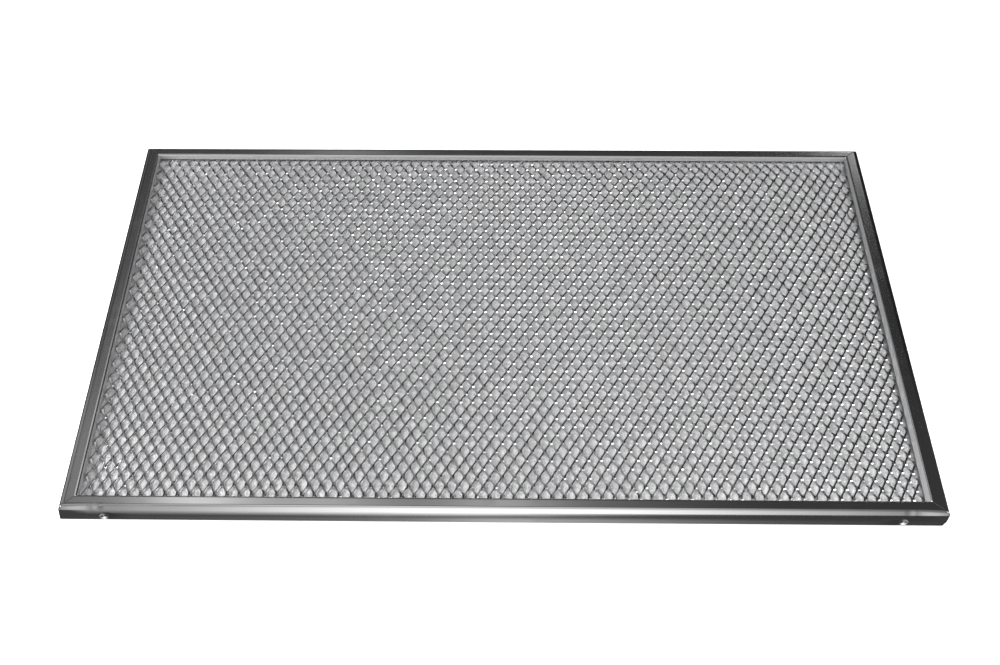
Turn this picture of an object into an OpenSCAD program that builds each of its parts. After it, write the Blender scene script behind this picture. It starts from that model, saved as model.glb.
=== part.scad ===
// Framed mesh panel that lies flat in the intake of a cooker hood.
// Four folded rails are mitred round a pack of expanded metal, fine foil mesh and
// an activated carbon pad. The rails' inner lips pinch the edge of the pack, and
// the pad makes it thicker in the middle, so the upper face is crowned.
// X is the long side, Y the depth and Z the thickness. The origin is the middle
// of the underside.

/* [Frame] */
// Outer width of the frame, along X
frame_w = 380; // [260:1:600]
// Outer depth of the frame, along Y
frame_d = 267; // [200:1:500]
// Thickness of the frame, along Z
frame_t = 8; // [7.6:0.1:12]
// Width of the rails' flat flanges
flange_w = 7.35; // [6.9:0.05:12]
// Thickness of the rails' folded sheet
rail_sheet = 0.6; // [0.4:0.05:0.7]
// Outer radius of the rails' upper outer fold
top_fold_r = 2; // [1:0.1:2.4]
// Outer radius of the rails' lower outer fold
foot_fold_r = 0.9; // [0.8:0.1:1.4]
// Outer radius of the folds into the inner lips
lip_fold_r = 0.9; // [0.8:0.1:1.2]
// Height of the inner lips, with the flange they hang from
lip_h = 2.5; // [1.5:0.05:2.6]
// Open joint between two rails at a mitre
mitre_gap = 0.12; // [0.05:0.01:0.4]
// How far the foot of the front right corner is trimmed back
corner_trim = 1.9; // [0.5:0.1:2.5]

/* [Corner keys] */
// Length of each arm of a corner key, from the frame's outer corner
key_arm = 27; // [24:1:60]
// Thickness of a corner key's arms
key_t = 3; // [2:0.1:3.4]
// Play between a corner key and the inside of the rail
key_fit = 0.05; // [0.02:0.01:0.1]
// Rounding of the key's edges that face the pack
key_edge_r = 0.4; // [0.2:0.1:0.8]
// Bevel across the key's outer corner
key_bevel = 1.8; // [1:0.1:2.5]

/* [Stakes] */
// Distance of each stake mark from the frame's outer corner
stake_in = 20; // [12:0.5:21]
// Height of the stake marks above the underside
stake_z = 3.1; // [2.8:0.1:4.6]
// Diameter of a stake mark on the outer face
stake_d = 3; // [2.4:0.1:3.4]
// Diameter of a stake mark's floor
stake_floor_d = 1.6; // [1:0.1:2]
// Depth of a stake mark
stake_h = 0.6; // [0.3:0.05:0.8]
// Play round and behind a stake in its key
stake_fit = 0.15; // [0.05:0.01:0.3]

/* [Face mesh] */
// Short way of one diamond, from knuckle to knuckle along X
diamond_sw = 5.4; // [4.5:0.1:9]
// Long way of one diamond, from knuckle to knuckle along Y
diamond_lw = 10.66; // [8:0.02:20]
// Width of one strand
strand_w = 0.8; // [0.5:0.05:1.6]
// Thickness of a face sheet over its crossed strands
face_t = 1; // [0.6:0.05:1.1]
// Slit between the two sets of strands, which join at the sheet's rim
strand_slit = 0.02; // [0.01:0.01:0.05]
// Distance of the rim's edge, and of the openings' ends, from the edge of the window
rim_step = 0.2; // [0.1:0.05:0.5]
// How far the sheets reach behind the lips
tuck = 1.6; // [0.5:0.1:2]

/* [Filling] */
// Rise of the upper sheets from the lips to the middle of the panel
crown = 2.4; // [0.8:0.1:2.8]
// Width of the sloping border of the upper sheets
crown_run = 18; // [8:1:40]
// Distance of the carbon pad's edge from the lips
pad_inset = 6; // [3:0.5:8]

/* [Hidden] */
$fn = 24;
// Reach of cutting shapes past what they cut
past = 1;

half_w = frame_w / 2;
half_d = frame_d / 2;
// Space left between the upper and the lower lip
throat = frame_t - 2 * lip_h;
// The four foils share what the two face sheets leave of the throat
foil_t = (throat - 2 * face_t) / 4;
// Outer face of the keys, from the frame's outer face
key_out = rail_sheet + key_fit;

// Window between the lips, and how far the sheets reach past it
window_w = frame_w - 2 * flange_w;
window_d = frame_d - 2 * flange_w;
sheet_reach = rail_sheet + tuck;

// Levels of the pack at the lips, from the bottom up
z_bottom_mesh = lip_h;
z_lower_outer = z_bottom_mesh + face_t;
z_lower_inner = z_lower_outer + foil_t;
z_pad = z_lower_inner + foil_t;
z_upper_inner = z_pad;
z_upper_outer = z_upper_inner + foil_t;
z_top_mesh = z_upper_outer + foil_t;

// Slope of the strands from the Y axis, and a strand's width along X
strand_lean = diamond_sw / diamond_lw;
strand_x = strand_w * sqrt(1 + pow(strand_lean, 2));
strands_half = ceil((window_w + window_d * strand_lean) / 2 / diamond_sw);

alloy = "#a9abad";
strand_alloy = "#8d8f91";
foil_alloy = "#d3d4d5";
key_zinc = "#7d8186";
carbon = "#2a2a2c";

// What a fold of radius r takes off a square corner that lies at the origin
module corner_waste(r) {
    difference() {
        translate([-past, -past])
            square(r + past);
        translate([r, r])
            circle(r);
    }
}

// A rectangle between two corners, with a radius for each of its corners:
// low outer, high outer, high inner and low inner
module folded_outline(low, high, radii) {
    difference() {
        translate(low)
            square(high - low);
        translate(low)
            corner_waste(radii[0]);
        translate([low[0], high[1]])
            mirror([0, 1])
                corner_waste(radii[1]);
        translate(high)
            rotate(180)
                corner_waste(radii[2]);
        translate([high[0], low[1]])
            mirror([1, 0])
                corner_waste(radii[3]);
    }
}

// Section of a rail: outer face at the left, lips at the right
module rail_section() {
    difference() {
        folded_outline(
            [0, 0],
            [flange_w, frame_t],
            [foot_fold_r, top_fold_r, lip_fold_r, lip_fold_r]
        );
        folded_outline(
            [rail_sheet, rail_sheet],
            [flange_w - rail_sheet, frame_t - rail_sheet],
            [
                foot_fold_r - rail_sheet, top_fold_r - rail_sheet,
                lip_fold_r - rail_sheet, lip_fold_r - rail_sheet
            ]
        );
        translate([flange_w - rail_sheet - past, lip_h])
            square([rail_sheet + 2 * past, throat]);
    }
}

// Section of a key's arm, which fills the outer part of the rail's channel
module key_section() {
    folded_outline(
        [key_out, key_out],
        [key_out + key_t, frame_t - key_out],
        [foot_fold_r - rail_sheet, top_fold_r - rail_sheet, key_edge_r, key_edge_r]
    );
}

// Draws a section along X from x = 0, with its outer face on the plane y = 0
module along_x(length) {
    rotate([90, 0, 90])
        linear_extrude(length)
            children();
}

// Stake marks stand on the outer face y = 0 and point inwards
module stake_cone(extra) {
    translate([0, 0, stake_z])
        rotate([-90, 0, 0])
            cylinder(
                h = stake_h + extra,
                d1 = stake_d + extra,
                d2 = stake_floor_d + extra
            );
}

// A rail with its outer face on y = 0, centred on x = 0
module rail(length) {
    cut = mitre_gap / sqrt(2);
    half = length / 2;
    difference() {
        union() {
            intersection() {
                translate([-half, 0, 0])
                    along_x(length)
                        rail_section();
                translate([0, 0, -past])
                    linear_extrude(frame_t + 2 * past)
                        polygon([
                            [cut - half, 0],
                            [half - cut, 0],
                            [half - cut - flange_w, flange_w],
                            [cut - half + flange_w, flange_w]
                        ]);
            }
            for (side = [-1, 1])
                translate([side * (half - stake_in), 0, 0])
                    stake_cone(rail_sheet);
        }
        for (side = [-1, 1])
            translate([side * (half - stake_in), 0, 0])
                stake_cone(0);
    }
}

// The slanting trim at the foot of the front right corner
module corner_trim_waste() {
    lean = atan(corner_trim / sqrt(2) / (frame_t - top_fold_r));
    reach = 4 * frame_t;
    translate([half_w, -half_d, frame_t - top_fold_r])
        rotate([0, 0, 135])
            rotate([0, -lean, 0])
                translate([-reach, -reach / 2, -reach / 2])
                    cube(reach);
}

// One arm of a key along X, from the mitre at the frame's outer corner
module key_arm_along_x() {
    difference() {
        intersection() {
            along_x(key_arm)
                key_section();
            linear_extrude(frame_t)
                polygon([
                    [0, 0],
                    [key_arm, 0],
                    [key_arm, flange_w],
                    [flange_w, flange_w]
                ]);
        }
        translate([stake_in, key_out - past, stake_z])
            rotate([-90, 0, 0])
                cylinder(h = stake_h + stake_fit + past, d = stake_d + 2 * stake_fit);
    }
}

// A key in the corner at the origin, with arms along +X and +Y
module corner_key() {
    difference() {
        union() {
            key_arm_along_x();
            mirror([1, -1, 0])
                key_arm_along_x();
        }
        rotate([0, 0, 45])
            translate([-past, -frame_t / 2, -past])
                cube([
                    sqrt(2) * key_out + key_bevel / sqrt(2) + past,
                    frame_t,
                    frame_t + 2 * past
                ]);
    }
}

// Outline of the sheets, or of the window with reach = 0, as a slab from z up
module slab(z, t, reach) {
    translate([-window_w / 2 - reach, -window_d / 2 - reach, z])
        cube([window_w + 2 * reach, window_d + 2 * reach, t]);
}

// One trapezium of the crown, drawn across a window of the given width
module crown_profile(width, down) {
    polygon([
        [-width / 2, -down],
        [width / 2, -down],
        [width / 2, 0],
        [width / 2 - crown_run, crown],
        [crown_run - width / 2, crown],
        [-width / 2, 0]
    ]);
}

// Everything under the crowned face whose edge is at height z, and above z - down
module crown_block(z, down) {
    translate([0, 0, z])
        intersection() {
            rotate([90, 0, 0])
                linear_extrude(window_d, center = true)
                    crown_profile(window_w, down);
            rotate([90, 0, 90])
                linear_extrude(window_w, center = true)
                    crown_profile(window_d, down);
        }
}

// A sheet of thickness t that is flat behind the lips and crowned between them
module crowned_sheet(z, t) {
    difference() {
        union() {
            slab(z, t, sheet_reach);
            crown_block(z + t, t);
        }
        crown_block(z, past);
    }
}

// The openings between neighbouring strands that all lean one way. They end just
// inside the window, where the crown has begun
module strand_openings(side) {
    rise = window_d / 2 + past;
    opening_x = diamond_sw - strand_x;
    intersection() {
        slab(0, frame_t + crown, -rim_step);
        union()
            for (i = [-strands_half : strands_half - 1])
                translate([(i + 0.5) * diamond_sw, 0, -past])
                    linear_extrude(frame_t + crown + 2 * past)
                        polygon([
                            [-side * rise * strand_lean - opening_x / 2, -rise],
                            [-side * rise * strand_lean + opening_x / 2, -rise],
                            [side * rise * strand_lean + opening_x / 2, rise],
                            [side * rise * strand_lean - opening_x / 2, rise]
                        ]);
    }
}

// The uncut rim of a face sheet, which the lips hold
module mesh_rim(z) {
    difference() {
        slab(z, face_t, sheet_reach);
        slab(z - past, face_t + 2 * past, rim_step);
    }
}

// A rail in its place on the named side
module placed_rail(side) {
    if (side == "front")
        translate([0, -half_d, 0])
            rail(frame_w);
    if (side == "back")
        translate([0, half_d, 0])
            rotate(180)
                rail(frame_w);
    if (side == "left")
        translate([-half_w, 0, 0])
            rotate(-90)
                rail(frame_d);
    if (side == "right")
        translate([half_w, 0, 0])
            rotate(90)
                rail(frame_d);
}

module front_rail() {
    color(alloy)
        difference() {
            placed_rail("front");
            corner_trim_waste();
        }
}

module back_rail() {
    color(alloy)
        placed_rail("back");
}

module left_rail() {
    color(alloy)
        placed_rail("left");
}

module right_rail() {
    color(alloy)
        difference() {
            placed_rail("right");
            corner_trim_waste();
        }
}

// A key in its place in the corner on the given sides of X and Y
module placed_key(x_side, y_side) {
    color(key_zinc)
        translate([x_side * half_w, y_side * half_d, 0])
            mirror([x_side > 0 ? 1 : 0, 0, 0])
                mirror([0, y_side > 0 ? 1 : 0, 0])
                    corner_key();
}

module front_left_key() {
    placed_key(-1, -1);
}

module front_right_key() {
    placed_key(1, -1);
}

module back_left_key() {
    placed_key(-1, 1);
}

module back_right_key() {
    placed_key(1, 1);
}

// Expanded metal: two crossed sets of strands that share one rim
module top_face_mesh() {
    set_t = (face_t - strand_slit) / 2;
    color(strand_alloy)
        union() {
            mesh_rim(z_top_mesh);
            difference() {
                crowned_sheet(z_top_mesh, set_t);
                strand_openings(-1);
            }
            difference() {
                crowned_sheet(z_top_mesh + face_t - set_t, set_t);
                strand_openings(1);
            }
        }
}

module bottom_face_mesh() {
    set_t = (face_t - strand_slit) / 2;
    color(strand_alloy)
        union() {
            mesh_rim(z_bottom_mesh);
            difference() {
                slab(z_bottom_mesh, set_t, sheet_reach);
                strand_openings(-1);
            }
            difference() {
                slab(z_bottom_mesh + face_t - set_t, set_t, sheet_reach);
                strand_openings(1);
            }
        }
}

// Fine foil mesh, whose openings are under a millimetre
module upper_outer_foil() {
    color(foil_alloy)
        crowned_sheet(z_upper_outer, foil_t);
}

module upper_inner_foil() {
    color(foil_alloy)
        crowned_sheet(z_upper_inner, foil_t);
}

module lower_inner_foil() {
    color(foil_alloy)
        slab(z_lower_inner, foil_t, sheet_reach);
}

module lower_outer_foil() {
    color(foil_alloy)
        slab(z_lower_outer, foil_t, sheet_reach);
}

// The pad lies between the foils and makes the crown
module carbon_pad() {
    color(carbon)
        intersection() {
            crown_block(z_pad, 0);
            slab(z_pad, crown + past, -pad_inset);
        }
}

front_rail();
back_rail();
left_rail();
right_rail();
front_left_key();
front_right_key();
back_left_key();
back_right_key();
top_face_mesh();
upper_outer_foil();
upper_inner_foil();
carbon_pad();
lower_inner_foil();
lower_outer_foil();
bottom_face_mesh();
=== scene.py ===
# %% [markdown]
# # A cooker hood filter panel
#
# This lesson dresses a flat metal filter panel. It has a folded frame with mitred
# corners, expanded metal on both faces, and layers of fine foil mesh round a carbon
# pad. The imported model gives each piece's place and size, so nothing is fitted by eye:
# a new piece is built straight into the space of the solid that it stands for.

import math

import bmesh
import bpy
import numpy as np
from mathutils import Matrix, Vector, noise


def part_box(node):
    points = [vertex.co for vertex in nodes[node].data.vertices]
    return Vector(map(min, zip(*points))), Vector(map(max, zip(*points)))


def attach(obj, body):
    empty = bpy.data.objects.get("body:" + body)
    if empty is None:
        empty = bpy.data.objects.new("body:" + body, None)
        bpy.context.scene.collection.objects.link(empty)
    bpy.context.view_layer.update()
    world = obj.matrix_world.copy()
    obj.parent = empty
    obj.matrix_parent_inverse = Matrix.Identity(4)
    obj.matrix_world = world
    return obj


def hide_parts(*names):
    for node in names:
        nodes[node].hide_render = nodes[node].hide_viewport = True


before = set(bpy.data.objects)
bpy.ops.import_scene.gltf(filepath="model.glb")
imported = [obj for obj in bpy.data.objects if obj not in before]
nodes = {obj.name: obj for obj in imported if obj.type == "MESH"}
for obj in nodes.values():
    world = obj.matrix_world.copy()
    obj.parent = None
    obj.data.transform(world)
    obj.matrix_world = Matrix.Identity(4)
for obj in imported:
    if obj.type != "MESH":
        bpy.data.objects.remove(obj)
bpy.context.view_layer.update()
MM = 0.001
print("solids in the frame:", len(nodes))

# %% [markdown]
# ## Sizes
#
# The outside sizes are read from the solids' boxes. The few sizes that a box can't
# give, such as the sheet's thickness and the radii of its folds, are written here once,
# in millimetres, as they are on the real panel.

# %% Read the sizes
front_low, front_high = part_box("front_rail")
side_low, side_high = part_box("left_rail")
half_w = (front_high.x - front_low.x) / 2
half_d = (side_high.y - side_low.y) / 2
thickness = front_high.z
flange = front_high.y - front_low.y

rail_sheet = 0.6 * MM
top_fold = 2.2 * MM
foot_fold = 0.65 * MM
lip_fold = 0.9 * MM
lip_height = 2.5 * MM
bow_from = 2 * MM
bow_depth = 0.3 * MM
bow_fade = 14 * MM
mitre_gap = 0.12 * MM
corner_trim = 2.7 * MM

window_x = half_w - flange
window_y = half_d - flange
sheet_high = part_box("top_face_mesh")[1]
sheet_x = sheet_high.x
sheet_y = sheet_high.y
print(f"frame {2 * half_w:.3f} x {2 * half_d:.3f} x {thickness:.4f} m")

# %% [markdown]
# ## Wiring materials with plain arithmetic
#
# A node tree that is built link by link is hard to read. The class below wraps the
# output of a node, so that `1 - mask * 0.5` adds the Math nodes by itself. Every other
# node comes from one method, `add`, which takes its type, its settings and what goes
# into its sockets.


# %% Wrap a socket
class Signal:
    """The output of a node, which Python's operators turn into Math nodes."""

    def __init__(self, wiring, socket):
        self.wiring = wiring
        self.socket = socket

    def maths(self, operation, *others):
        sockets = dict(enumerate((self, *others)))
        return self.wiring.add("ShaderNodeMath", {"operation": operation}, sockets)

    def __add__(self, other):
        return self.maths("ADD", other)

    def __sub__(self, other):
        return self.maths("SUBTRACT", other)

    def __rsub__(self, other):
        return (self * -1) + other

    def __mul__(self, other):
        return self.maths("MULTIPLY", other)

    def __truediv__(self, other):
        return self.maths("DIVIDE", other)

    def __pow__(self, other):
        return self.maths("POWER", other)

    __radd__ = __add__
    __rmul__ = __mul__

    def step(self, start, end):
        """Rises smoothly from 0 at start to 1 at end."""
        settings = {"interpolation_type": "SMOOTHSTEP"}
        sockets = {"Value": self, "From Min": start, "From Max": end}
        return self.wiring.add("ShaderNodeMapRange", settings, sockets)


class Wiring:
    """A node tree with one way of adding a node."""

    def __init__(self, tree):
        self.tree = tree

    def feed(self, socket, value):
        if isinstance(value, Signal):
            self.tree.links.new(value.socket, socket)
        else:
            socket.default_value = value

    def add(self, kind, settings=None, sockets=None, output=0):
        made = self.tree.nodes.new(kind)
        for name, value in (settings or {}).items():
            if name == "stops":
                set_stops(made.color_ramp, value)
            else:
                setattr(made, name, value)
        for name, value in (sockets or {}).items():
            self.feed(made.inputs[name], value)
        return Signal(self, made.outputs[output])

    def parts(self, vector):
        """The X, Y and Z of a vector."""
        split = self.add("ShaderNodeSeparateXYZ", sockets={0: vector})
        return [Signal(self, end) for end in split.socket.node.outputs]


def set_stops(ramp, stops):
    """Gives a colour ramp its stops, each a place from 0 to 1 and a grey."""
    for place, grey in stops[1:-1]:
        ramp.elements.new(place)
    for element, (place, grey) in zip(ramp.elements, stops):
        element.position = place
        element.color = (grey, grey, grey, 1)


class Finish(Wiring):
    """A material that is being wired, with its Principled shader."""

    def __init__(self, name):
        self.material = bpy.data.materials.new(name)
        self.material.use_nodes = True
        super().__init__(self.material.node_tree)
        self.shader = self.tree.nodes["Principled BSDF"]
        self.place = self.add("ShaderNodeTexCoord", output="Object")

    def set(self, **sockets):
        for name, value in sockets.items():
            self.feed(self.shader.inputs[name.replace("_", " ")], value)

    def spots(self, per_metre, detail=3, stretch=(1, 1, 1)):
        """Noise from 0 to 1 with so many spots to the metre."""
        settings = {"operation": "MULTIPLY"}
        where = self.add("ShaderNodeVectorMath", settings, {0: self.place, 1: stretch})
        sockets = {"Vector": where, "Scale": per_metre, "Detail": detail}
        return self.add("ShaderNodeTexNoise", sockets=sockets)

    def tint(self, amount, low, high):
        """A colour between two, by an amount from 0 to 1."""
        settings = {"data_type": "RGBA"}
        mix = self.add("ShaderNodeMix", settings)
        made = mix.socket.node
        self.feed(made.inputs[0], amount)
        self.feed(made.inputs[6], (*low, 1))
        self.feed(made.inputs[7], (*high, 1))
        return Signal(self, made.outputs[2])

    def bump(self, height, strength, distance):
        sockets = {"Height": height, "Strength": strength, "Distance": distance}
        return self.add("ShaderNodeBump", sockets=sockets)


# %% [markdown]
# ## Camera
#
# The photograph looks down on the panel at about 41 degrees from in front of its long
# side, and its middle isn't the middle of the picture that the lens made: the picture
# was cropped. A small sideways shift of the camera gives the same crop.

# %% Place the camera
camera_place = Vector((-6.7, -673.4, 572.2)) * MM
camera_pitch = math.radians(40.714)
camera_yaw = math.radians(-1.51)
camera_roll = math.radians(-0.66)
focal_px = 1828.3
centre_px = 450.8
photo_w = 1000

lens = bpy.data.cameras.new("camera")
lens.sensor_width = 36
lens.lens = lens.sensor_width * focal_px / photo_w
lens.shift_x = 0.5 - centre_px / photo_w
lens.clip_end = 50
camera = bpy.data.objects.new("camera", lens)
ahead = Vector((
    math.sin(camera_yaw) * math.cos(camera_pitch),
    math.cos(camera_yaw) * math.cos(camera_pitch),
    -math.sin(camera_pitch),
))
level = Vector((math.cos(camera_yaw), -math.sin(camera_yaw), 0))
upward = level.cross(ahead)
right = level * math.cos(camera_roll) + upward * math.sin(camera_roll)
upward = upward * math.cos(camera_roll) - level * math.sin(camera_roll)
turn = Matrix((right, upward, -ahead)).transposed().to_4x4()
camera.matrix_world = Matrix.Translation(camera_place) @ turn
bpy.context.scene.collection.objects.link(camera)
bpy.context.scene.camera = camera
bpy.context.scene.view_settings.view_transform = "Standard"
print(f"lens {lens.lens:.1f} mm, shift {lens.shift_x:.3f}")

# %% [markdown]
# ## Light
#
# Bright metal shows what stands round it, so the light is painted as the metal sees
# it, by direction. Seen from in front, a flat flange mirrors the low back of the room.
# That is dark, with a few pale patches, which give the flanges their soft gradients.
# The rounded front fold mirrors everything from overhead to the front, where a tall
# strip light hangs. Below the foot of the strip the web mirrors a darker ground with a
# faint glow on it. Small glints high in front, on the left, light single knuckles of
# the mesh. Two large softboxes at the sides light the strands and the foil, while the
# flanges don't see them.

# %% Paint the room
world = bpy.data.worlds.new("studio")
world.use_nodes = True
bpy.context.scene.world = world
room = Wiring(world.node_tree)
side_x, back_y, up_z = room.parts(room.add("ShaderNodeTexCoord", output="Generated"))


def patch(strength, x, x_spread, z, z_spread):
    """A soft patch of light round one direction."""
    across = (side_x - x) / x_spread
    along = (up_z - z) / z_spread
    return ((across * across + along * along) * -0.5).maths("EXPONENT") * strength


behind = back_y.step(0.1, 0.4)
in_front = 1 - back_y.step(-0.4, -0.1)
back_light = (
    patch(1.0, -0.157, 0.02, 0.72, 0.05)
    + patch(0.5, -0.09, 0.02, 0.73, 0.04)
    + patch(0.15, -0.04, 0.03, 0.73, 0.04)
    + patch(0.45, 0.008, 0.018, 0.74, 0.05)
    + patch(0.1, 0.055, 0.035, 0.74, 0.05)
    + patch(0.24, -0.228, 0.016, 0.69, 0.022)
    + patch(0.26, -0.078, 0.022, 0.575, 0.025)
    + patch(2.8, 0.205, 0.012, 0.535, 0.012)
    - patch(0.016, 0.22, 0.03, 0.62, 0.05)
    - patch(0.03, -0.25, 0.2, 0.08, 0.12)
) * behind
slanting = up_z - (side_x + 0.5) * 0.83
from_left = 1 - side_x.step(-0.35, -0.27)
grey_band = slanting.step(0.2, 0.3) * (1 - slanting.step(0.55, 0.65)) * behind * 0.27
above = back_y.step(-0.12, 0.02) * (1 - back_y.step(0.25, 0.4)) * up_z.step(0.62, 0.72)
pale_band = (side_x.step(-0.66, -0.5) * 0.7 + 0.3) * above * 0.42
back_light = back_light + (grey_band + pale_band) * from_left

across_strip = (((side_x - 0.01) / 0.118) ** 2 * -0.5).maths("EXPONENT")
strip = across_strip * (0.45 + 0.95 * (1 - back_y.step(-0.95, -0.35)))
across_lamp = (((back_y + 0.05) / 0.1) ** 2 * -0.5).maths("EXPONENT")
lamp = across_lamp * patch(0.3, -0.05, 0.1, 1, 0.3)
ceiling = patch(0.3, -0.13, 0.07, 1, 0.3) * (1 - back_y.step(0.3, 0.6)) * back_y.step(-0.6, -0.1)
strip_foot = (up_z - side_x.maths("MAXIMUM", 0) * 1.2).step(-0.66, -0.44)
strip = strip * (1 - back_y.step(0.0, 0.5)) * strip_foot + ceiling + lamp
front_glow = (
    patch(0.16, 0.0, 0.11, -0.76, 0.07)
    + patch(0.2, 0.05, 0.045, -0.76, 0.07)
    + patch(0.28, 0.006, 0.022, -0.76, 0.07)
    + patch(0.3, 0.0, 0.09, -0.88, 0.05)
) * in_front
upper_part = back_y.step(-0.42, -0.35) * (1 - back_y.step(-0.22, -0.12))
lower_part = 1 - back_y.step(-0.45, -0.38)
glint = patch(6, -0.5, 0.055, 0.8, 0.06) * upper_part
glint = glint + patch(6, -0.36, 0.05, 0.8, 0.05) * lower_part
dim_room = 0.042
studio_light = dim_room + back_light + strip + front_glow + glint

seen = room.add("ShaderNodeLightPath", output="Is Camera Ray")
white_ground = 1.1
shown = room.tree.nodes["Background"]
room.feed(shown.inputs["Strength"], studio_light * (1 - seen) + seen * white_ground)
shown.inputs["Color"].default_value = (1, 1, 1, 1)
print("room nodes:", len(room.tree.nodes))


# %% Hang the two side softboxes
def softbox(name, place, size, radiance):
    """An area light that faces the panel."""
    light = bpy.data.lights.new(name, "AREA")
    light.shape = "RECTANGLE"
    light.size, light.size_y = size
    light.energy = radiance * math.pi * size[0] * size[1]
    hung = bpy.data.objects.new(name, light)
    hung.location = place
    hung.rotation_euler = (-Vector(place)).to_track_quat("-Z", "Y").to_euler()
    bpy.context.scene.collection.objects.link(hung)
    return hung


softbox("left_softbox", (-1.15, -0.05, 0.37), (0.9, 0.6), 18)
softbox("right_softbox", (0.95, -0.15, 0.75), (0.9, 0.6), 7.2)

# %% [markdown]
# ## Floor
#
# The photograph's ground is plain white. The floor is a pale surface that glows a
# little, as a lit table does, so that it stays white under the soft light. It isn't
# mirrored in the metal, because the real frame's outer face mirrors a dark room.

# %% Lay the floor
floor_size = 12
floor_mesh = bpy.data.meshes.new("floor")
far = floor_size / 2
floor_corners = [(-far, -far, 0), (far, -far, 0), (far, far, 0), (-far, far, 0)]
floor_mesh.from_pydata(floor_corners, [], [(0, 1, 2, 3)])
floor = bpy.data.objects.new("floor", floor_mesh)
floor.location.z = -0.2 * MM
floor.visible_glossy = False
bpy.context.scene.collection.objects.link(floor)
paper = Finish("white_paper")
grain = paper.spots(900)
paper.set(
    Base_Color=paper.tint(grain, (0.84, 0.84, 0.84), (0.88, 0.88, 0.88)),
    Roughness=0.9,
    Emission_Color=(1, 1, 1, 1),
    Emission_Strength=0.75,
)
floor_mesh.materials.append(paper.material)


# %% [markdown]
# ## Making pieces
#
# Each piece is one mesh made from arrays of points. The helper below makes the object,
# gives it its finish, hides the solid that it stands for, and marks the edges between
# faces that meet at a sharp angle, so that folds look round and cut edges crisp.

# %% Make a piece from points and faces
def make_piece(name, points, faces, finish, sharp_degrees=38, cut=None):
    """A cut is a plane, as a point and a normal: what lies past it is taken off."""
    mesh = bpy.data.meshes.new(name)
    mesh.from_pydata(points, [], faces)
    work = bmesh.new()
    work.from_mesh(mesh)
    if cut:
        whole = work.verts[:] + work.edges[:] + work.faces[:]
        plane = {"plane_co": cut[0], "plane_no": cut[1]}
        made = bmesh.ops.bisect_plane(work, geom=whole, clear_outer=True, **plane)
        rim = [part for part in made["geom_cut"] if isinstance(part, bmesh.types.BMEdge)]
        bmesh.ops.holes_fill(work, edges=rim)
    bmesh.ops.recalc_face_normals(work, faces=work.faces)
    for face in work.faces:
        face.smooth = True
    limit = math.radians(sharp_degrees)
    for edge in work.edges:
        edge.smooth = edge.is_manifold and edge.calc_face_angle() < limit
    work.to_mesh(mesh)
    work.free()
    mesh.materials.append(finish.material)
    piece = bpy.data.objects.new(name + "_piece", mesh)
    bpy.context.scene.collection.objects.link(piece)
    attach(piece, "root")
    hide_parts(name)
    triangles = sum(len(p.vertices) - 2 for p in mesh.polygons)
    print(f"{name}: {len(mesh.vertices)} points, {triangles} triangles")
    return piece


# %% [markdown]
# ## Rails
#
# A rail is a strip of sheet folded into a channel. A loft suits it: the section is
# walked once from the free end of the lower lip to that of the upper lip, and repeated
# at stations along the rail. The last stations follow the mitre, because the length
# that is left depends on how far a point lies from the outer face. Stations are close
# together near the stake marks, which are pressed into the web by moving its points.
# The front rail's web is also drawn in a little by its upper fold, and that bow fades
# out toward the mitres.

# %% Walk the rail's section
def smooth(values):
    """Turns a 0 to 1 ramp into a smooth step."""
    held = np.clip(values, 0, 1)
    return held * held * (3 - 2 * held)


def fold(centre, radius, start, end, count=6):
    """Points of a round fold between two angles, in degrees."""
    angles = np.radians(np.linspace(start, end, count + 1))
    return [(centre[0] + radius * math.cos(a), centre[1] + radius * math.sin(a)) for a in angles]


def straight(start, end, spacing):
    """Points between two ends, without the ends."""
    count = max(1, round(math.dist(start, end) / spacing))
    return [tuple(p) for p in np.linspace(start, end, count + 1)[1:-1]]


def web_bow(reach, height, from_end):
    """How far the web is drawn in, which grows toward its upper fold."""
    rise = np.clip(height - bow_from, 0, None) / (thickness - top_fold - bow_from)
    near_face = np.clip(1 - reach / top_fold, 0, 1)
    return bow_depth * rise ** 2 * near_face * smooth(from_end / bow_fade)


def rail_section():
    """The sheet's outer and inner points, as distance from the outer face and height."""
    mid = rail_sheet / 2
    lip_y = flange - mid
    lip_r, foot_r, top_r = lip_fold - mid, foot_fold - mid, top_fold - mid
    roof = thickness - mid
    stretches = [
        [(lip_y, lip_height)],
        fold((lip_y - lip_r, mid + lip_r), lip_r, 0, -90),
        fold((mid + foot_r, mid + foot_r), foot_r, -90, -180),
        fold((mid + top_r, roof - top_r), top_r, 180, 90, 12),
        fold((lip_y - lip_r, roof - lip_r), lip_r, 90, 0),
        [(lip_y, thickness - lip_height)],
    ]
    spacings = [0.6, 1.2, 0.3, 0.6, 0.5]
    walk = list(stretches[0])
    for stretch, spacing in zip(stretches[1:], spacings):
        walk += straight(walk[-1], stretch[0], spacing * MM)
        walk += stretch
    walk = np.array(walk)
    ahead_of = np.gradient(walk, axis=0)
    ahead_of /= np.linalg.norm(ahead_of, axis=1)[:, None]
    outwards = np.column_stack([-ahead_of[:, 1], ahead_of[:, 0]])
    return walk + outwards * mid, walk - outwards * mid, outwards


# %% [markdown]
# The stake marks are small round dimples that lock the hidden corner keys. Beside each
# one the punch has also left a shallow dent in the upper fold.

# %% Shape the marks in the web
stake_in = 20.4 * MM
stake_height = 2.2 * MM
stake_depth = 0.45 * MM
stake_radius = 2.2 * MM
stake_floor = 0.7 * MM
stake_stretch = 1.5
dent_in = 17 * MM
dent_radius = 2.2 * MM
dent_depth = 0.035 * MM
dent_slant = 0.7


def mark_depth(from_end, height):
    """How far the stake mark presses the web in."""
    away = np.hypot((from_end - stake_in) / stake_stretch, height - stake_height)
    return stake_depth * smooth((stake_radius - away) / (stake_radius - stake_floor))


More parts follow.
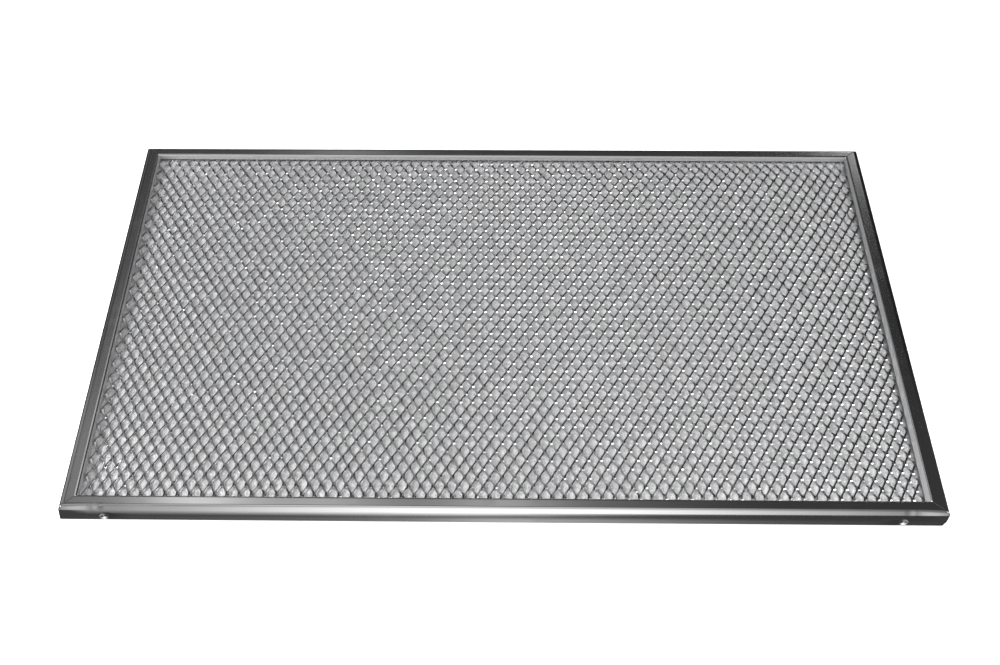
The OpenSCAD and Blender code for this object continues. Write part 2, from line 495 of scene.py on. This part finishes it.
def dent_push(from_end, height):
    """How far the dent beside a stake mark presses the upper fold in."""
    fold_height = thickness - top_fold * 0.45
    away = np.hypot((from_end - dent_in) * 0.8, height - fold_height)
    return dent_depth * smooth(1 - away / dent_radius)


# %% Loft one rail
def rail_stations(half_length):
    """Places along a rail, close together near the stake marks."""
    close_from, close_to = 22.5 * MM, 11.5 * MM
    middle = np.arange(close_from - half_length, half_length - close_from + 1e-6, 4 * MM)
    middle = np.linspace(close_from - half_length, half_length - close_from, len(middle))
    close = np.arange(close_to, close_from, 0.4 * MM) - half_length
    return np.concatenate([close, middle, -close[::-1]]), half_length - close_to


end_chamfer = 0.03 * MM


def rail_points(half_length, lean, bowed):
    """Grids of points, station by station, for the sheet's outer and inner faces."""
    outer, inner, outwards = rail_section()
    core, core_end = rail_stations(half_length)
    ends = [0.3, 0.6, 0.85, 0.96, 0.985, 1.0]
    grids = []
    for face, way in ((outer, -1), (inner, 1)):
        rows = []
        reach, height = face[:, 0], face[:, 1]
        left = half_length - mitre_gap / math.sqrt(2) - reach - core_end
        tail = [core_end + left * share for share in ends]
        shrink = [0] * (len(ends) - 1) + [end_chamfer]
        for side in (-1, 1):
            part = []
            for run, inset in zip(tail, shrink):
                moved = face + outwards * way * inset
                part.append(np.column_stack([side * run, moved]))
            if side < 0:
                rows += part[::-1]
                rows += [np.column_stack([np.full(len(face), s), face]) for s in core]
            else:
                rows += part
        grid = np.array(rows)
        from_end = half_length - np.abs(grid[:, :, 0])
        on_web = smooth(1 - (grid[:, :, 1] - rail_sheet) / (0.5 * MM))
        bow = web_bow(grid[:, :, 1], grid[:, :, 2], from_end)
        grid[:, :, 1] += mark_depth(from_end, grid[:, :, 2]) * on_web
        push = dent_push(from_end, grid[:, :, 2]) * (grid[:, :, 1] < 2.5 * MM)
        grid[:, :, 1] += push * dent_slant + bow * bowed
        grid[:, :, 2] -= push * dent_slant
        hung = np.clip((thickness - grid[:, :, 2]) / lip_height, 0, 1)
        on_lip = (grid[:, :, 1] > flange - lip_fold) & (grid[:, :, 2] > thickness / 2)
        grid[:, :, 1] += on_lip * hung ** 2 * lean(grid[:, :, 0])
        grids.append(grid)
    return grids


def loft_faces(stations, across):
    """Faces of a channel whose outer and inner grids follow one another."""
    inner_start = stations * across
    faces = []

    def quad(a, b, c, d):
        faces.append((a, b, c, d))

    for i in range(stations - 1):
        for j in range(across - 1):
            a = i * across + j
            quad(a, a + 1, a + across + 1, a + across)
            b = inner_start + a
            quad(b, b + across, b + across + 1, b + 1)
        for j in (0, across - 1):
            a = i * across + j
            quad(a, a + across, inner_start + a + across, inner_start + a)
    for i in (0, stations - 1):
        for j in range(across - 1):
            a = i * across + j
            quad(a, a + 1, inner_start + a + 1, inner_start + a)
    return faces


def make_rail(name, half_length, distance, turn_degrees, lean, finish, cut=None, bowed=0):
    """Lofts a rail and turns it into its place, at a distance from the middle."""
    outer, inner = rail_points(half_length, lean, bowed)
    stations, across = outer.shape[:2]
    points = np.concatenate([outer.reshape(-1, 3), inner.reshape(-1, 3)])
    points[:, 1] -= distance
    angle = math.radians(turn_degrees)
    turned = points.copy()
    turned[:, 0] = points[:, 0] * math.cos(angle) - points[:, 1] * math.sin(angle)
    turned[:, 1] = points[:, 0] * math.sin(angle) + points[:, 1] * math.cos(angle)
    return make_piece(name, turned, loft_faces(stations, across), finish, cut=cut)


# %% [markdown]
# At the front right corner the feet of both rails are cut back on a slant, so the
# corner leans inwards below the fold. One plane cuts both rails.

# %% Place the slanting cut at the front right corner
cut_from = thickness - 0.4 * MM
cut_top = Vector((half_w, -half_d, cut_from))
cut_foot = Vector((half_w, -half_d + corner_trim, 0))
cut_along = Vector((1, 1, 0))
corner_cut = (cut_foot, cut_along.cross(cut_top - cut_foot).normalized())
if corner_cut[1].x < 0:
    corner_cut = (cut_foot, -corner_cut[1])
print("the cut faces", [round(v, 2) for v in corner_cut[1]])

# %% [markdown]
# ## Rail finish
#
# The rails are bright rolled aluminium. It is a mirror that is slightly blurred, with
# faint streaks along the rolling direction, and a few dull smudges from handling. The
# turned-down lips are rougher, and their colour is darkened as painted shade, most on
# the right rail. The outer folds of the two side rails are darkened as painted shade
# too, most toward the back. The streaks run along each rail, so the finish is made once
# for each direction.

# %% Wire the rail finish
def rail_finish(name, along_x):
    finish = Finish(name)
    stretch = (0.02, 1, 1) if along_x else (1, 0.02, 1)
    streaks = finish.spots(2600, 2, stretch)
    smudges = finish.spots(55, 4)
    blur = 0.1 + streaks * 0.04 + smudges.step(0.5, 0.75) * 0.04
    place_x, place_y, place_z = finish.parts(finish.place)
    from_middle = (place_y if along_x else place_x).maths("ABSOLUTE")
    lip_at = (half_d if along_x else half_w) - flange
    inside = 1 - from_middle.step(lip_at + 0.5 * MM, lip_at + 0.8 * MM)
    on_lip = inside * (1 - place_z.step(thickness - 0.5 * MM, thickness - 0.12 * MM))
    # Painted shade: the lips' colour is darkened, fully on the right rail's lip.
    painted_lip_shade = 0.5 if along_x else 0.4 + place_x.step(-0.1, 0.1) * 0.6
    edge_at = half_d if along_x else half_w
    # Painted shade: the side rails' outer folds are darkened, most toward the back.
    on_fold = from_middle.step(edge_at - 2.5 * MM, edge_at - 1.9 * MM) * (0 if along_x else 1)
    painted_fold_shade = on_fold * (0.2 + place_y.step(-0.09, -0.02) * 0.8)
    # The shine is darkened by the painted shade on the lips and on the side folds.
    shine = (0.87 + streaks * 0.13) * (1 - on_lip * painted_lip_shade) * (1 - painted_fold_shade)
    finish.set(
        Metallic=1.0,
        Base_Color=finish.tint(shine, (0.28, 0.28, 0.285), (0.88, 0.88, 0.885)),
        Roughness=blur + on_lip * 0.4,
        Normal=finish.bump(streaks, 0.15, 0.00002),
    )
    return finish


rail_along_x = rail_finish("rail_sheet_along_x", True)
rail_along_y = rail_finish("rail_sheet_along_y", False)


# %% Make the four rails
def even_lean(amount):
    """The lip leans out by the same amount, in millimetres, all along."""
    return lambda run: np.full_like(run, amount * MM)


def growing_lean(at_front, at_back):
    """The lip of the right rail leans out further toward the front."""
    return lambda run: (at_back + (at_front - at_back) * (half_d - run) / (2 * half_d)) * MM


small_lean = 0.3
large_lean = 1.4
lip_lean = even_lean(small_lean)
right_lean = growing_lean(large_lean, small_lean)
make_rail("front_rail", half_w, half_d, 0, lip_lean, rail_along_x, corner_cut, bowed=1)
make_rail("back_rail", half_w, half_d, 180, lip_lean, rail_along_x)
make_rail("left_rail", half_d, half_w, -90, lip_lean, rail_along_y)
make_rail("right_rail", half_d, half_w, 90, right_lean, rail_along_y, corner_cut)

# %% [markdown]
# ## Crown
#
# The frame pinches the edge of the pack, and the pad inside swells it. The upper face
# rises steeply next to the lips, is nearly level further in, and sags a little along
# the middle. One function gives the height of the top of the mesh, and every layer
# under it hangs at its own depth below that height.

# %% Give the height of the crowned face
edge_height = 5.5 * MM
crown_rise = 2.4 * MM
crown_run = 9 * MM
middle_sag = 1.2 * MM


def crown_height(x, y):
    in_x = 1 - np.exp(-np.clip(window_x - np.abs(x), 0, None) / crown_run)
    in_y = 1 - np.exp(-np.clip(window_y - np.abs(y), 0, None) / crown_run)
    sag = middle_sag * (1 + np.cos(2 * math.pi * x / half_w)) / 2
    return edge_height + in_x * in_y * (crown_rise - sag)


print(f"crown from {edge_height / MM:.1f} to {(edge_height + crown_rise) / MM:.1f} mm")

# %% [markdown]
# ## Expanded metal
#
# Expanded metal is a sheet that was slit in rows and pulled open. Each row of metal
# between two rows of slits becomes a zigzag strip, and neighbouring strips stay joined
# at the knuckles. The pull also turns the strips, so their faces are tilted and the
# sheet feels rough. So it is built from zigzag strips of rectangular section: at a
# knuckle, one strip lies beside the next on the same slope. A strip is highest at its
# left knuckles, dips along the arm and lies a little lower at its right knuckles.

# %% Set the sizes of the mesh
diamond_sw = 5.39 * MM
diamond_lw = 10.66 * MM
strand_w = 0.92 * MM
strand_t = 0.4 * MM
strand_tilt = math.radians(20)
knuckle_length = 1.5 * MM
shoulder_run = 0.5 * MM
shoulder_drop = 0.3 * MM
crest_fall = 0.28 * MM
slow_dip = (0.6 * MM, 0.46 * MM)
quick_dip = (1.4 * MM, 0.68 * MM)
valley_drop = 0.3 * MM
pull_run = 14 * MM
print(f"a strip lies {valley_drop / MM:.2f} mm lower at one knuckle than at the next")


# %% Follow one zigzag strip
def strip_path(column):
    """Places along Y, the share crossed from left to right knuckle, and the drop."""
    first = diamond_lw / 2 if column % 2 == 0 else 0
    count = math.ceil(sheet_y / diamond_lw) + 1
    half_knuckle = knuckle_length / 2
    half_turn = diamond_lw / 2
    arm = half_turn - knuckle_length
    one_turn = np.array([
        (-half_knuckle, 0, 0),
        (half_knuckle, 0, crest_fall),
        (half_turn - half_knuckle - slow_dip[0], 1 - slow_dip[0] / arm, slow_dip[1]),
        (half_turn - half_knuckle, 1, valley_drop),
        (half_turn + half_knuckle, 1, valley_drop),
        (half_turn + half_knuckle + quick_dip[0], 1 - quick_dip[0] / arm, quick_dip[1]),
        (2 * half_turn - half_knuckle - shoulder_run, shoulder_run / arm, shoulder_drop),
    ])
    starts = first + np.arange(-count, count + 1) * diamond_lw
    path = np.concatenate([one_turn + (start, 0, 0) for start in starts])
    kept = path[np.abs(path[:, 0]) < sheet_y - 0.2 * MM]
    run, crossed, drop = path.T
    ends = [
        [end, np.interp(end, run, crossed), np.interp(end, run, drop)]
        for end in (-sheet_y, sheet_y)
    ]
    return np.concatenate([ends[:1], kept, ends[1:]]).T


def side_pull(x, y):
    """The rails have drawn the lattice in a little at the left and right edges."""
    near_front = (window_y - y) / (2 * window_y)
    pull = np.where(x < 0, 0.7 + 1.2 * near_front, 1.2 + 1.3 * near_front) * MM
    fade = np.exp(-(window_x - np.abs(x)) / pull_run)
    return pull * np.minimum(fade, 1) * np.sign(x)


# %% Build a face sheet from its strips
def strip_bars(top_at, facing):
    """The four-sided sections of every strip, each an array of places along the strip."""
    columns = math.ceil(2 * sheet_x / diamond_sw) + 1
    cosine, sine = math.cos(strand_tilt), math.sin(strand_tilt)
    across = np.array([cosine, sine]) * strand_w / 2
    through = np.array([-sine, cosine]) * strand_t / 2
    corners = [across + through, -across + through, -across - through, across - through]
    highest = strand_w / 2 * sine + strand_t / 2 * cosine
    for column in range(-columns, columns):
        places, crossed, drop = strip_path(column)
        middle = column * diamond_sw / 2 + strand_w / 2 * cosine
        middle = middle + crossed * (diamond_sw / 2 - strand_w * cosine)
        middle = middle - side_pull(middle, places)
        if middle.min() < -sheet_x + strand_w or middle.max() > sheet_x - strand_w:
            continue
        top = top_at(middle, places)
        yield np.stack([
            np.column_stack([middle + c[0], places, facing * (c[1] - highest - drop) + top])
            for c in corners
        ], axis=1)


def expanded_sheet(name, top_at, facing, finish):
    """Facing is 1 for the upper sheet and -1 for the lower one, which is turned over."""
    faces, start = [], 0
    bars = list(strip_bars(top_at, facing))
    for bar in bars:
        count = len(bar)
        for i in range(count - 1):
            for j in range(4):
                a = start + i * 4 + j
                b = start + i * 4 + (j + 1) % 4
                faces.append((a, b, b + 4, a + 4))
        faces.append((start + 3, start + 2, start + 1, start))
        last = start + (count - 1) * 4
        faces.append((last, last + 1, last + 2, last + 3))
        start += count * 4
    points = np.concatenate([bar.reshape(-1, 3) for bar in bars])
    return make_piece(name, points, faces, finish, sharp_degrees=10)


# %% [markdown]
# ## Mesh finish
#
# The strands are the same bright aluminium, left as the slitting press made it: a
# little rougher than the rails, with fine marks across the cut.

# %% Wire the mesh finish and make both sheets
strand_finish = Finish("expanded_aluminium")
marks = strand_finish.spots(1500, 4)
waves = strand_finish.spots(180, 2)
strand_finish.set(
    Metallic=1.0,
    Base_Color=strand_finish.tint(marks, (0.62, 0.62, 0.63), (0.86, 0.86, 0.87)),
    Roughness=0.08 + marks * 0.08,
    Normal=strand_finish.bump(waves + marks * 0.03, 1, 0.0004),
)
under_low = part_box("bottom_face_mesh")[0]


def under_height(x, y):
    return np.full_like(x, under_low.z)


expanded_sheet("top_face_mesh", crown_height, 1, strand_finish)
expanded_sheet("bottom_face_mesh", under_height, -1, strand_finish)


# %% [markdown]
# ## Foil mesh
#
# Behind the diamonds lies a fine foil mesh, several crumpled layers of it. From a step
# away it is a pale, mottled surface that bulges a little through each diamond and is
# held down under each strand. Its form is a grid that follows the lattice, and its
# tiny openings are left to the finish.

# %% Bulge a layer through the diamonds
def bulge(x, y):
    """1 in the middle of a diamond and 0 under a strand."""
    up = x / diamond_sw + y / diamond_lw
    down = x / diamond_sw - y / diamond_lw
    return np.abs(np.cos(math.pi * up) * np.cos(math.pi * down)) ** 0.7


def crumple(x, y, size, seed):
    flat = [noise.noise(Vector((a / size, b / size, seed))) for a, b in zip(x.ravel(), y.ravel())]
    return np.array(flat).reshape(x.shape)


def layer(name, fine_at, coarse_at, cells, reach, finish):
    """A closed sheet: one face on a fine grid, the other on a grid half as fine."""
    wide, deep = reach
    columns = 2 * math.ceil(wide / cells[0])
    rows = 2 * math.ceil(deep / cells[1])
    faces, points, start = [], [], 0
    rims = []
    for height_at, skip, way in ((fine_at, 1, 1), (coarse_at, 2, -1)):
        across = np.linspace(-wide, wide, columns // skip + 1)
        along = np.linspace(-deep, deep, rows // skip + 1)
        x, y = np.meshgrid(across, along)
        points.append(np.column_stack([x.ravel(), y.ravel(), height_at(x, y).ravel()]))
        index = start + np.arange(x.size).reshape(x.shape)
        quads = np.stack([index[:-1, :-1], index[:-1, 1:], index[1:, 1:], index[1:, :-1]], axis=-1)
        faces += quads.reshape(-1, 4)[:, ::way].tolist()
        rims.append([*index[0], *index[1:, -1], *index[-1, -2::-1], *index[-2:0:-1, 0]])
        start += x.size
    fine, coarse = rims
    for i, low in enumerate(coarse):
        edge = [fine[2 * i], fine[2 * i + 1], fine[(2 * i + 2) % len(fine)]]
        faces.append([low, coarse[(i + 1) % len(coarse)], *edge[::-1]])
    return make_piece(name, np.concatenate(points), faces, finish)


# %% Wire the foil finish
foil_finish = Finish("fine_foil_mesh")
cells = foil_finish.add(
    "ShaderNodeTexVoronoi",
    {"feature": "DISTANCE_TO_EDGE"},
    {"Vector": foil_finish.place, "Scale": 850, "Randomness": 0.9},
)
openings = 1 - cells.step(0.02, 0.16)
creases = foil_finish.spots(420, 5)
shade = creases.step(0.3, 0.7) * 0.65 + openings * 0.35
foil_finish.set(
    Metallic=0.35,
    Base_Color=foil_finish.tint(shade, (0.52, 0.52, 0.53), (0.96, 0.96, 0.965)),
    Roughness=0.38 + creases * 0.2,
    Normal=foil_finish.bump(creases * 0.7 + openings * 0.3, 0.8, 0.0004),
)

# %% Lay the upper foils
foil_low = 1.42 * MM
foil_bulge = 0.4 * MM
front_bulge = 0.3 * MM
foil_t = 0.1 * MM
crumple_size = 4 * MM
inner_foil_depth = 1.54 * MM
inner_foil_under = 1.6 * MM
fine_cells = (diamond_sw / 4, diamond_lw / 8)
coarse_cells = (diamond_sw / 2, diamond_lw / 4)
sheet_reach = (sheet_x, sheet_y)


def upper_outer_top(x, y):
    near_front = np.clip((-y - window_y * 0.3) / (window_y * 0.7), 0, 1)
    hills = bulge(x + side_pull(x, y), y) * (foil_bulge + near_front * front_bulge)
    return crown_height(x, y) - foil_low + hills + crumple(x, y, crumple_size, 1.0) * 0.08 * MM


def below_crown(depth, rough=0, seed=0):
    """A height function for a layer that follows the crown at a depth."""
    return lambda x, y: crown_height(x, y) - depth + crumple(x, y, 5 * MM, seed) * rough


layer("upper_outer_foil", upper_outer_top, below_crown(foil_low + foil_t), fine_cells,
      sheet_reach, foil_finish)
inner_top = below_crown(inner_foil_depth, 0.03 * MM, 2.0)
layer("upper_inner_foil", inner_top, below_crown(inner_foil_under), coarse_cells,
      sheet_reach, foil_finish)

# %% [markdown]
# The lower foil is the same quilt seen from below. The pack is flat on that side, so it
# hangs from a flat height and bulges downward.

# %% Lay the lower outer foil
lower_foil_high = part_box("lower_outer_foil")[1]
lower_quilt = 0.3 * MM


def lower_outer_bottom(x, y):
    hills = bulge(x, y) * lower_quilt
    return lower_foil_high.z - foil_t - hills + crumple(x, y, crumple_size, 3.0) * 0.04 * MM


def lower_outer_top(x, y):
    return np.full_like(x, lower_foil_high.z)


layer("lower_outer_foil", lower_outer_bottom, lower_outer_top, fine_cells,
      sheet_reach, foil_finish)

# %% [markdown]
# ## Carbon pad
#
# The pad is a sheet of needled fleece loaded with carbon grains. It lies between the
# foils, swollen in the middle and thin at its edge, so its upper face takes its height
# from the crown as well.

# %% Lay the pad
pad_low, pad_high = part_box("carbon_pad")
pad_depth = 1.66 * MM


def pad_bottom(x, y):
    return np.full_like(x, pad_low.z)


carbon_finish = Finish("carbon_fleece")
grains = carbon_finish.spots(2500, 5)
carbon_finish.set(
    Base_Color=carbon_finish.tint(grains, (0.01, 0.01, 0.012), (0.06, 0.06, 0.065)),
    Roughness=0.95,
    Normal=carbon_finish.bump(grains, 0.8, 0.0005),
)
pad = layer("carbon_pad", below_crown(pad_depth, 0.08 * MM, 4.0), pad_bottom, coarse_cells,
            (pad_high.x, pad_high.y), carbon_finish)

# %% [markdown]
# ## Last steps
#
# The solids that stay as they were imported, such as the corner keys, get their
# finishes.

# %% Finish the carried-over solids
key_finish = Finish("zinc_plate")
plating = key_finish.spots(700, 4)
key_finish.set(
    Metallic=1.0,
    Base_Color=key_finish.tint(plating, (0.5, 0.51, 0.53), (0.66, 0.67, 0.7)),
    Roughness=0.3 + plating * 0.2,
)
finish_of = {"key": key_finish, "foil": foil_finish}
for made in nodes.values():
    if made.hide_render:
        continue
    for word, finish in finish_of.items():
        if word in made.name:
            made.data.materials.clear()
            made.data.materials.append(finish.material)
